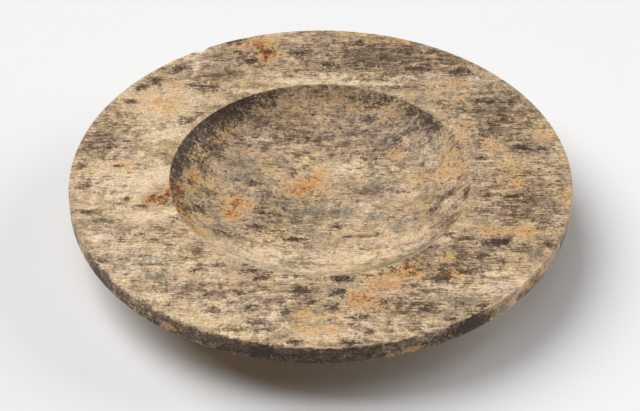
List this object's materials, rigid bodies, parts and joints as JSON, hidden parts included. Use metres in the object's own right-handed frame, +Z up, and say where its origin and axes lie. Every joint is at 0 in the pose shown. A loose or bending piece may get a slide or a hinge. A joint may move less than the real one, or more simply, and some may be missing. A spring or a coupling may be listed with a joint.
{
  "type": "wide-rimmed wooden bowl",
  "caption": "Shallow turned wooden bowl with a wide flat rim, a smooth round well and a low foot ring; stands on a table to hold fruit or as a centrepiece.",
  "frame": {"origin": "centre of the foot ring's flat underside, on the surface the bowl stands on", "axes": "+Z up along the turning axis, +X along the wood's grain, +Y across the grain towards the back"},
  "size_m": [0.38, 0.38, 0.052],
  "materials": {
    "spalted_wood": "fine sanded, oiled, satin-matt"
  },
  "bodies": {
    "root": {"bowl": "spalted_wood"}
  },
  "joints": []
}
